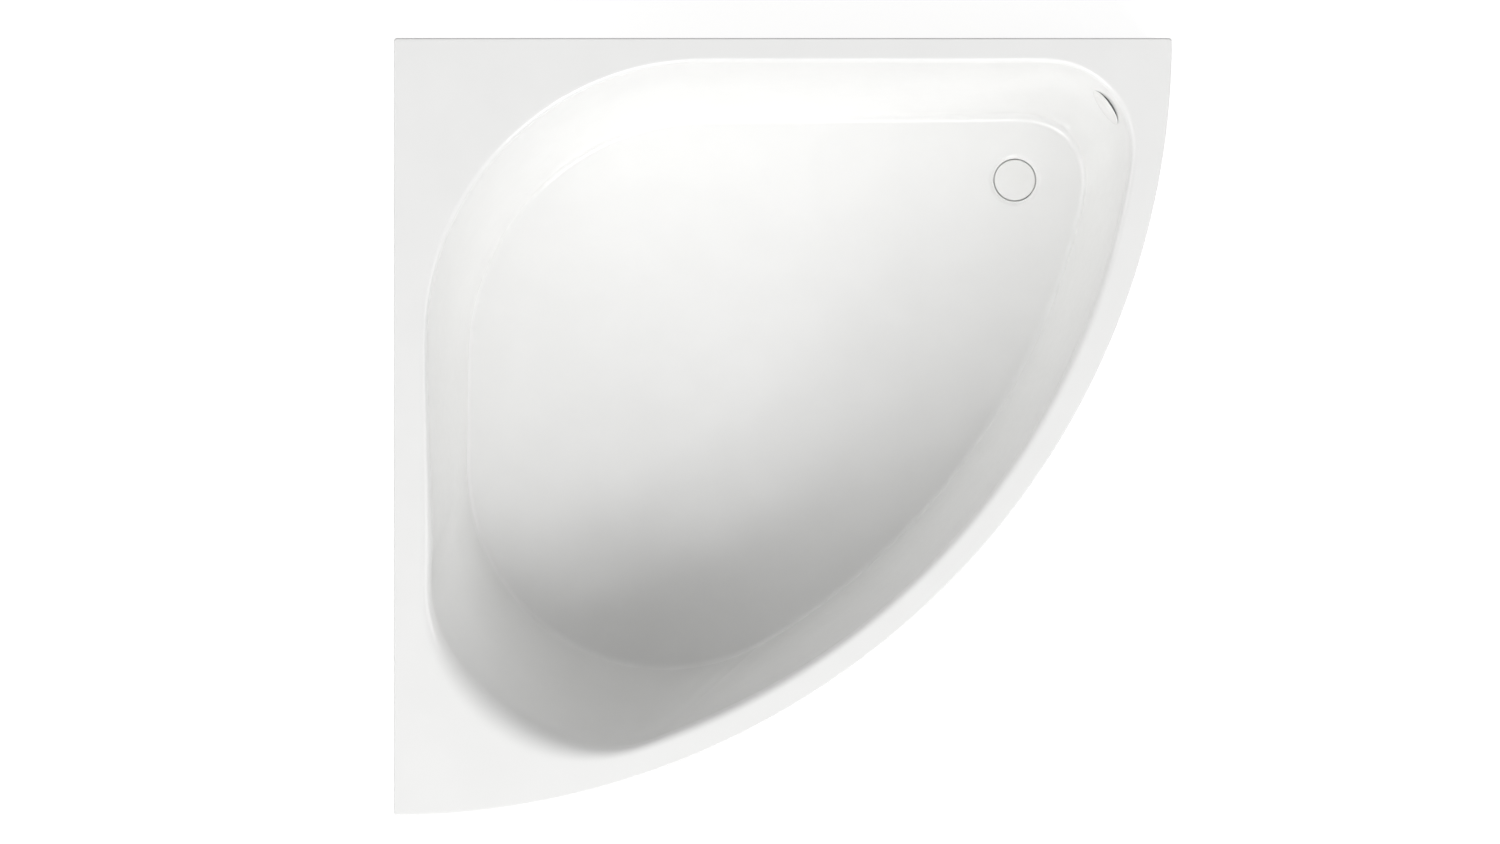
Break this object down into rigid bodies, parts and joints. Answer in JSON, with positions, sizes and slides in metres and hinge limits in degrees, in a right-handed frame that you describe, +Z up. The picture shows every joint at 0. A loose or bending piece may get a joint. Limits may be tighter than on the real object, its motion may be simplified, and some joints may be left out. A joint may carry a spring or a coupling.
{
  "type": "corner bathtub",
  "caption": "Quarter-round acrylic corner bathtub with a curved apron, adjustable feet, and a turn-knob waste and overflow.",
  "frame": {"origin": "on the floor, under the middle of the square that the tub's two wall sides span", "axes": "+Z up, the back wall side faces +Y, the left wall side faces -X, the round front faces +X and -Y"},
  "size_m": [1.4, 1.4, 0.6],
  "materials": {
    "sanitary_acrylic": "gloss white cast acrylic",
    "fibreglass": "sprayed and rolled glass-fibre laminate",
    "chipboard": "raw chipboard",
    "softwood": "sawn softwood",
    "galvanised_steel": "hot-dip galvanised sheet",
    "zinc_plated_steel": "zinc plated",
    "black_plastic": "moulded polypropylene, fine grain",
    "white_plastic": "moulded polypropylene, satin",
    "grey_hose": "ribbed polyethylene hose",
    "black_rubber": "moulded rubber",
    "gloss_white_plastic": "gloss white moulded ABS",
    "stainless_steel": "polished stainless steel",
    "grey_plastic": "moulded acetal",
    "cable_sheath": "extruded sheath"
  },
  "bodies": {
    "tub": {"acrylic_shell": "sanitary_acrylic", "front_panel": "sanitary_acrylic", "laminate_backing": "fibreglass", "base_board": "chipboard", "rim_batten_back": "softwood", "rim_batten_left": "softwood", "rim_block_1": "softwood", "rim_block_2": "softwood", "rim_block_3": "softwood", "rail_back": "galvanised_steel", "rail_middle": "galvanised_steel", "rail_front": "galvanised_steel", "panel_stays": "galvanised_steel", "panel_clip_1": "galvanised_steel", "panel_clip_2": "galvanised_steel", "panel_clip_3": "galvanised_steel", "rail_screws": "zinc_plated_steel", "panel_clip_screws": "zinc_plated_steel", "waste_body": "white_plastic", "trap_cup": "white_plastic", "outlet_pipe": "white_plastic", "outlet_nut": "white_plastic", "overflow_body": "white_plastic", "hose_nuts": "white_plastic", "overflow_hose": "grey_hose", "waste_seal_upper": "black_rubber", "waste_seal_lower": "black_rubber", "outlet_seal": "black_rubber", "overflow_seal": "black_rubber", "waste_flange": "stainless_steel", "overflow_screws": "stainless_steel", "rocker_pin": "stainless_steel", "overflow_faceplate": "grey_plastic", "bowden_cable": "cable_sheath"},
    "knob": {"overflow_rosette": "gloss_white_plastic", "overflow_spindle": "grey_plastic"},
    "plug": {"plug_cover": "gloss_white_plastic", "plug_seal": "black_rubber", "plug_stem": "grey_plastic"},
    "lifter": {"rocker": "black_plastic"},
    "foot_1": {"foot_1_pad": "black_plastic", "foot_1_spindle": "zinc_plated_steel"},
    "nuts_1": {"foot_1_nuts": "zinc_plated_steel"},
    "foot_2": {"foot_2_pad": "black_plastic", "foot_2_spindle": "zinc_plated_steel"},
    "nuts_2": {"foot_2_nuts": "zinc_plated_steel"},
    "foot_3": {"foot_3_pad": "black_plastic", "foot_3_spindle": "zinc_plated_steel"},
    "nuts_3": {"foot_3_nuts": "zinc_plated_steel"},
    "foot_4": {"foot_4_pad": "black_plastic", "foot_4_spindle": "zinc_plated_steel"},
    "nuts_4": {"foot_4_nuts": "zinc_plated_steel"},
    "foot_5": {"foot_5_pad": "black_plastic", "foot_5_spindle": "zinc_plated_steel"},
    "nuts_5": {"foot_5_nuts": "zinc_plated_steel"},
    "foot_6": {"foot_6_pad": "black_plastic", "foot_6_spindle": "zinc_plated_steel"},
    "nuts_6": {"foot_6_nuts": "zinc_plated_steel"}
  },
  "joints": [
    {"name": "knob_turn", "type": "hinge", "parent": "tub", "child": "knob", "pos_m": [0.58685, 0.57979, 0.51973], "axis": [-0.809, -0.5516, 0.2029], "range_deg": [0, 90]},
    {"name": "plug_lift", "type": "slide", "parent": "tub", "child": "plug", "axis": [0, 0, 1], "range_m": [0, 0.008]},
    {"name": "lifter_tilt", "type": "hinge", "parent": "tub", "child": "lifter", "pos_m": [0.43778, 0.43832, 0.1261], "axis": [0.788, 0.6157, 0], "range_deg": [0, 25.6]},
    {"name": "foot_1_height", "type": "slide", "parent": "tub", "child": "foot_1", "axis": [0, 0, -1], "range_m": [-0.008, 0.013]},
    {"name": "nuts_1_turn", "type": "hinge", "parent": "tub", "child": "nuts_1", "pos_m": [-0.33813, 0.485, 0.1157], "axis": [0, 0, 1], "range_deg": [-1646, 2675]},
    {"name": "foot_2_height", "type": "slide", "parent": "tub", "child": "foot_2", "axis": [0, 0, -1], "range_m": [-0.008, 0.013]},
    {"name": "nuts_2_turn", "type": "hinge", "parent": "tub", "child": "nuts_2", "pos_m": [0.23669, 0.485, 0.1157], "axis": [0, 0, 1], "range_deg": [-1646, 2675]},
    {"name": "foot_3_height", "type": "slide", "parent": "tub", "child": "foot_3", "axis": [0, 0, -1], "range_m": [-0.008, 0.013]},
    {"name": "nuts_3_turn", "type": "hinge", "parent": "tub", "child": "nuts_3", "pos_m": [-0.467, 0.18, 0.1157], "axis": [0, 0, 1], "range_deg": [-1646, 2675]},
    {"name": "foot_4_height", "type": "slide", "parent": "tub", "child": "foot_4", "axis": [0, 0, -1], "range_m": [-0.008, 0.013]},
    {"name": "nuts_4_turn", "type": "hinge", "parent": "tub", "child": "nuts_4", "pos_m": [0.3622, 0.18, 0.1157], "axis": [0, 0, 1], "range_deg": [-1646, 2675]},
    {"name": "foot_5_height", "type": "slide", "parent": "tub", "child": "foot_5", "axis": [0, 0, -1], "range_m": [-0.008, 0.013]},
    {"name": "nuts_5_turn", "type": "hinge", "parent": "tub", "child": "nuts_5", "pos_m": [-0.467, -0.15, 0.1157], "axis": [0, 0, 1], "range_deg": [-1646, 2675]},
    {"name": "foot_6_height", "type": "slide", "parent": "tub", "child": "foot_6", "axis": [0, 0, -1], "range_m": [-0.008, 0.013]},
    {"name": "nuts_6_turn", "type": "hinge", "parent": "tub", "child": "nuts_6", "pos_m": [0.15231, -0.15, 0.1157], "axis": [0, 0, 1], "range_deg": [-1646, 2675]}
  ],
  "couplings": [
    {"joint": "knob_turn", "follows": "plug_lift", "rad_per_m": 196.3},
    {"joint": "lifter_tilt", "follows": "plug_lift", "rad_per_m": 55.556},
    {"joint": "nuts_1_turn", "follows": "foot_1_height", "rad_per_m": 3590.4},
    {"joint": "nuts_2_turn", "follows": "foot_2_height", "rad_per_m": 3590.4},
    {"joint": "nuts_3_turn", "follows": "foot_3_height", "rad_per_m": 3590.4},
    {"joint": "nuts_4_turn", "follows": "foot_4_height", "rad_per_m": 3590.4},
    {"joint": "nuts_5_turn", "follows": "foot_5_height", "rad_per_m": 3590.4},
    {"joint": "nuts_6_turn", "follows": "foot_6_height", "rad_per_m": 3590.4}
  ]
}
